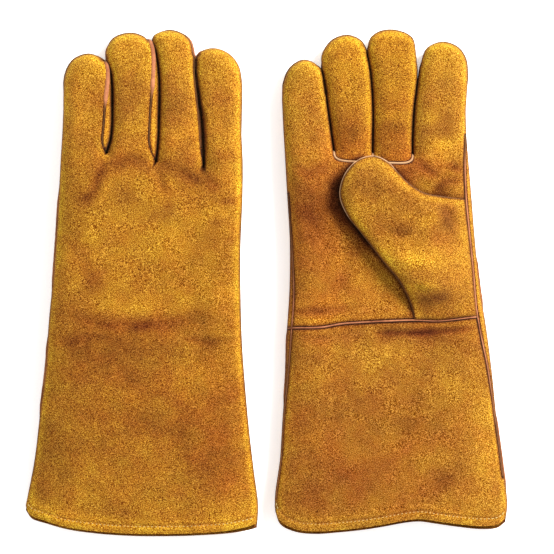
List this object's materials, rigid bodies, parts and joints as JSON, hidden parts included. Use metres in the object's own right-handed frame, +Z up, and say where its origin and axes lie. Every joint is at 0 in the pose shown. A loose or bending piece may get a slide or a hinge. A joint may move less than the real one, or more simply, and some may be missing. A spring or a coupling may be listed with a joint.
{
  "type": "pair of welding gloves",
  "caption": "Pair of gauntlet welding gloves in golden suede, one palm up and one back up, with wing thumbs, welted seams, wide cuffs and hollow lined hands.",
  "frame": {"origin": "centre of the pair's footprint on the surface that it lies on", "axes": "+X towards the thumb side of both gloves, from the left-hand glove to the right-hand glove; +Y towards the fingertips; +Z up from the surface"},
  "size_m": [0.3412, 0.3544, 0.0423],
  "materials": {
    "suede": "rough",
    "welt": "matt",
    "pale_welt": "matt",
    "fleece": "napped",
    "cotton": "woven"
  },
  "bodies": {
    "left_cuff": {"left_cuff_front": "suede", "left_cuff_back": "suede", "left_cuff_lining": "cotton", "left_wrist_welt": "welt", "left_inner_cuff_welt": "welt", "left_outer_cuff_welt": "welt"},
    "left_hand": {"left_hand_back": "suede", "left_palm": "suede", "left_thumb_base": "suede", "left_hand_lining": "fleece", "left_finger_base_welt": "pale_welt", "left_inner_hand_welt": "welt", "left_outer_hand_welt": "welt"},
    "left_little": {"left_little_front": "suede", "left_little_back": "suede", "left_little_lining": "fleece"},
    "left_ring": {"left_ring_front": "suede", "left_ring_back": "suede", "left_ring_lining": "fleece"},
    "left_middle": {"left_middle_front": "suede", "left_middle_back": "suede", "left_middle_lining": "fleece"},
    "left_index": {"left_index_front": "suede", "left_index_back": "suede", "left_index_lining": "fleece"},
    "left_thumb": {"left_thumb_front": "suede", "left_thumb_back": "suede", "left_thumb_lining": "fleece", "left_thumb_welt": "pale_welt"},
    "right_cuff": {"right_cuff_front": "suede", "right_cuff_back": "suede", "right_cuff_lining": "cotton", "right_wrist_welt": "welt", "right_inner_cuff_welt": "welt", "right_outer_cuff_welt": "welt"},
    "right_hand": {"right_hand_back": "suede", "right_palm": "suede", "right_thumb_base": "suede", "right_hand_lining": "fleece", "right_finger_base_welt": "pale_welt", "right_inner_hand_welt": "welt", "right_outer_hand_welt": "welt"},
    "right_little": {"right_little_front": "suede", "right_little_back": "suede", "right_little_lining": "fleece"},
    "right_ring": {"right_ring_front": "suede", "right_ring_back": "suede", "right_ring_lining": "fleece"},
    "right_middle": {"right_middle_front": "suede", "right_middle_back": "suede", "right_middle_lining": "fleece"},
    "right_index": {"right_index_front": "suede", "right_index_back": "suede", "right_index_lining": "fleece"},
    "right_thumb": {"right_thumb_front": "suede", "right_thumb_back": "suede", "right_thumb_lining": "fleece", "right_thumb_welt": "pale_welt"}
  },
  "joints": [
    {"name": "right_glove_lift", "type": "slide", "parent": "left_cuff", "child": "right_cuff", "axis": [0, 0, 1], "range_m": [0, 0.15]},
    {"name": "left_wrist_bend", "type": "hinge", "parent": "left_cuff", "child": "left_hand", "pos_m": [-0.08378, -0.02834, 0.0312], "axis": [-1, 0, 0], "range_deg": [-18, 18], "stiffness_Nm_per_rad": 0.3},
    {"name": "left_little_curl", "type": "hinge", "parent": "left_hand", "child": "left_little", "pos_m": [-0.12978, 0.09266, 0.0181], "axis": [-1, 0, 0], "range_deg": [0, 60], "stiffness_Nm_per_rad": 0.03},
    {"name": "left_ring_curl", "type": "hinge", "parent": "left_hand", "child": "left_ring", "pos_m": [-0.09738, 0.09266, 0.0181], "axis": [-1, 0, 0], "range_deg": [0, 60], "stiffness_Nm_per_rad": 0.03},
    {"name": "left_middle_curl", "type": "hinge", "parent": "left_hand", "child": "left_middle", "pos_m": [-0.06318, 0.09266, 0.0181], "axis": [-1, 0, 0], "range_deg": [0, 60], "stiffness_Nm_per_rad": 0.03},
    {"name": "left_index_curl", "type": "hinge", "parent": "left_hand", "child": "left_index", "pos_m": [-0.03258, 0.09266, 0.0181], "axis": [-1, 0, 0], "range_deg": [0, 60], "stiffness_Nm_per_rad": 0.03},
    {"name": "left_thumb_swing", "type": "hinge", "parent": "left_hand", "child": "left_thumb", "pos_m": [-0.04353, 0.01691, 0], "axis": [-0.3648, -0.9311, 0], "range_deg": [0, 60], "stiffness_Nm_per_rad": 0.03},
    {"name": "right_wrist_bend", "type": "hinge", "parent": "right_cuff", "child": "right_hand", "pos_m": [0.07882, -0.02834, 0.0111], "axis": [1, 0, 0], "range_deg": [-18, 18], "stiffness_Nm_per_rad": 0.3},
    {"name": "right_little_curl", "type": "hinge", "parent": "right_hand", "child": "right_little", "pos_m": [0.02882, 0.09266, 0.0242], "axis": [1, 0, 0], "range_deg": [0, 75], "stiffness_Nm_per_rad": 0.03},
    {"name": "right_ring_curl", "type": "hinge", "parent": "right_hand", "child": "right_ring", "pos_m": [0.05982, 0.09266, 0.0242], "axis": [1, 0, 0], "range_deg": [0, 75], "stiffness_Nm_per_rad": 0.03},
    {"name": "right_middle_curl", "type": "hinge", "parent": "right_hand", "child": "right_middle", "pos_m": [0.08842, 0.09266, 0.0242], "axis": [1, 0, 0], "range_deg": [0, 75], "stiffness_Nm_per_rad": 0.03},
    {"name": "right_index_curl", "type": "hinge", "parent": "right_hand", "child": "right_index", "pos_m": [0.12042, 0.09266, 0.0242], "axis": [1, 0, 0], "range_deg": [0, 75], "stiffness_Nm_per_rad": 0.03},
    {"name": "right_thumb_swing", "type": "hinge", "parent": "right_hand", "child": "right_thumb", "pos_m": [0.11907, 0.01691, 0.0423], "axis": [0.3648, 0.9311, 0], "range_deg": [0, 60], "stiffness_Nm_per_rad": 0.03}
  ]
}
